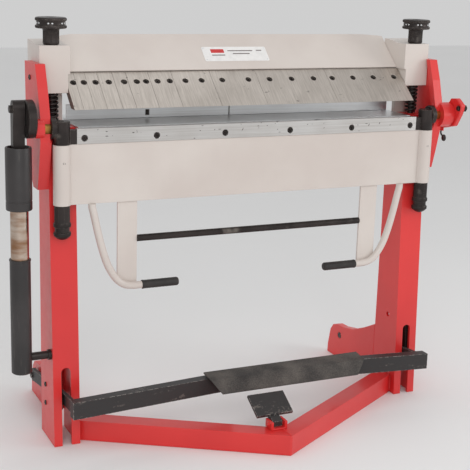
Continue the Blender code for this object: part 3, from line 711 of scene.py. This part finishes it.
handle_y, handle_radius = -17, 12
handle_path = ((561, 796.7), (561, 785), (556, 765), (545, 715), (530, 655), (514, 605), (497, 570),
               (476, 542), (452, 526), (425, 521), (410, 521), (396.3, 521))
for side, x in (("left", -1), ("right", 1)):
    bend = curved([(x * outwards, handle_y, up) for outwards, up in handle_path])
    handle = Stock().sweep(bend, handle_radius, 32)
    low, high = sorted((x * 410, x * 475))
    handle.saw('Y', [(low, 526), (high, 526), (high, 796.7), (low, 796.7)], -8, 0)
    handle.sweep(straight((x * 455, -9.5, 527), (x * 412, -9.5, 527), 40), rippled(2.6), bead_sides)
    handle.piece("handle_bent_" + side, grey_enamel, "apron", "grey_paint", ["handle_" + side], 1.0,
                 smooth=40)
    ribs = [(14 if step % 2 else 13.7, 282 + 6 * step - 1.2) for step in range(17)]
    grip = Stock().turn((0, handle_y, 521), (x, 0, 0), [
        (0, 270), (8, 270), (11.5, 271.2), (13.4, 274), (14, 278), *ribs, (14, 388), (14.4, 391), (14.4, 395),
        (13.4, 396), (0, 396)], 40)
    grip.piece("grip_moulded_" + side, grip_rubber, "apron", "grip_rubber", ["grip_" + side], smooth=50)
tie = Stock().turn((0, -4, 673), (1, 0, 0), [
    (0, -409.7), (10, -409.7), (11, -408.6), (11, 408.6), (10, 409.7), (0, 409.7)], 40)
tie.piece("tie_rod_turned", black_steel, "apron", "black_steel", ["handle_tie_rod"])


# ---- Angle stop ----------------------------------------------------------------------------------
# A red sector plate on the right stub axle with a black stop bolt, the red ring it meets, and the
# small ball-ended lever that locks the ring.

dress(red_enamel, "stop_arm", "stop_ring")
stop_screw = Stock().turn((0, -58, 1062), (1, 0, 0), [
    (0, 790), (6, 790), (7.6, 788.6), (8, 787), (8, 786), (11.2, 786, hexagon), (12.6, 785, hexagon),
    (12.6, 776.6, hexagon), (12, 775.6, hexagon), (8, 775.4), (8, 753), (7, 752), (0, 752)], 72)
stop_screw.piece("stop_screw", black_steel, "apron", "black_steel", ["stop_bolt"])
lever = Stock().sweep(curved([(753.3, 30, 971.7), (753.3, 30, 964), (757, 29.6, 956), (764, 29, 950)]), 3, 16)
lever.turn((764.5, 28.2, 955), (0.12, 0, -1), [
    (0, -2), (4, -1.2), (6.8, 2), (8.1, 7), (8.4, 11), (7.6, 16), (5.4, 20), (2.6, 22), (0, 22.5)], 36)
lever.piece("lock_lever_ball", black_steel, "lock_lever", "black_steel", ["lock_lever"], smooth=50)


# ---- Lift assist ------------------------------------------------------------------------------
# A telescopic spring unit outside the left post: a black lower tube on the stud, a polished
# plunger that shows between, a black sleeve, and a forged link up to the crank bolt.

def satin_black(name, main, gloss):
    """Black stove paint over tube, dusty and faintly scratched along its length."""
    made, tone, place = start_finish(name)
    dust = tone.noise(place, 5.0, 4.0)
    scratch = tone.noise(place.stretched((130.0, 130.0, 9.0)), 1.0, 3.0).between(0.62, 0.72)
    base = dust.between(0.35, 0.7).blend(main, tuple(1.7 * value for value in main[:3]) + (1.0,))
    shown = (scratch * 0.3).blend(base, colour(120, 112, 106))
    return close_finish(made, tone.noise(place, 380.0), 0.10, 0.0004, base_color=shown,
                        roughness=gloss + dust * 0.16)


stove_black = satin_black("stove_black", colour(44, 41, 41), 0.34)
made, tone, place = start_finish("plunger_steel")
film = tone.noise(place.stretched((6.0, 6.0, 22.0)), 1.0, 4.0)
rings = tone.noise(place.stretched((8.0, 8.0, 900.0)), 1.0, 2.0)
oiled = film.between(0.35, 0.65).blend(colour(214, 202, 190), colour(150, 112, 84))
plunger_steel = close_finish(made, rings, 0.08, 0.0003, base_color=oiled, metallic=1.0,
                             roughness=0.16 + film * 0.14)

middle = (-783, 10, 0)
lower = Stock().turn(middle, (0, 0, 1), [
    (0, 262), (29, 262), (32, 265), (32, 626), (33.4, 627.5), (33.4, 631), (32.6, 632), (28.8, 632),
    (28.6, 440), (0, 440)], 80)
lower.piece("assist_tube", stove_black, "balance_tube", "black_paint", ["balance_tube"])
rod = Stock().turn(middle, (0, 0, 1), [(0, 565), (28, 565), (28, 785), (0, 785)], 80)
rod.piece("assist_plunger", plunger_steel, "balance_plunger", "plunger_steel", ["balance_plunger"])
sleeve = Stock().turn(middle, (0, 0, 1), [
    (0, 786.5), (36, 786.5), (39, 787.5), (40, 790), (40, 812), (39, 813), (39, 816), (40, 817), (40, 976),
    (39.2, 979), (37, 980), (34, 979.4), (33, 972), (0, 972)], 80)
sleeve.piece("assist_sleeve", stove_black, "balance_plunger", "black_paint", ["balance_sleeve"])
eye = [(4 + 19.5 * math.cos(math.radians(turn)), 1096 + 25 * math.sin(math.radians(turn)))
       for turn in range(0, 181, 15)]
link = Stock().saw('X', [(24, 972.3), *eye, (-6, 1040), (-6, 972.3)], -802, -766)
link.turn((0, 0, 1095), (-1, 0, 0), [
    (0, 801), (14, 801), (14, 802.4), (12.4, 803, hexagon), (12.8, 804, hexagon), (12.8, 810.6, hexagon),
    (11.6, 811.8, hexagon), (0, 812)], 72)
link.piece("assist_link", black_steel, "balance_plunger", "black_steel", ["balance_link"], 2.4)


# ---- Clamping pedal ------------------------------------------------------------------------------
# Two black flat bars welded to levers that pass through the posts and turn on pins in the rear
# feet, joined by a sheet tread with a gritty coat. Shoes have rubbed the bars bright in places.

made, tone, place = start_finish("rubbed_black")
scrape = tone.noise(place.stretched((9.0, 30.0, 30.0)), 1.0, 5.0, 0.65)
grain = tone.noise(place, 130.0, 3.0)
edges = worn_edges(tone, 0.003)
worn = (scrape * 0.7 + grain * 0.3).between(0.575, 0.65) * 0.55
shown = (edges * grain.between(0.42, 0.6)).blend(worn.blend(colour(46, 43, 43), colour(128, 120, 114)),
                                                 colour(186, 180, 174))
rubbed_black = close_finish(made, grain + scrape, 0.22, 0.0007, base_color=shown, metallic=worn * 0.6,
                            roughness=0.42 + scrape * 0.2 - worn * 0.15)
dress(rubbed_black, "pedal_lever_left", "pedal_lever_right", "release_pedal")
made, tone, place = start_finish("gritty_tread")
grit = tone.noise(place, 330.0, 2.0, 0.8)
dirt = tone.noise(place, 11.0, 4.0)
trodden = (grit * 0.5 + dirt * 0.5).between(0.35, 0.7).blend(colour(42, 39, 39), colour(104, 98, 92))
gritty_tread = close_finish(made, grit, 0.7, 0.0012, base_color=trodden, roughness=0.62 + grit * 0.3)
dress(gritty_tread, "pedal_tread")
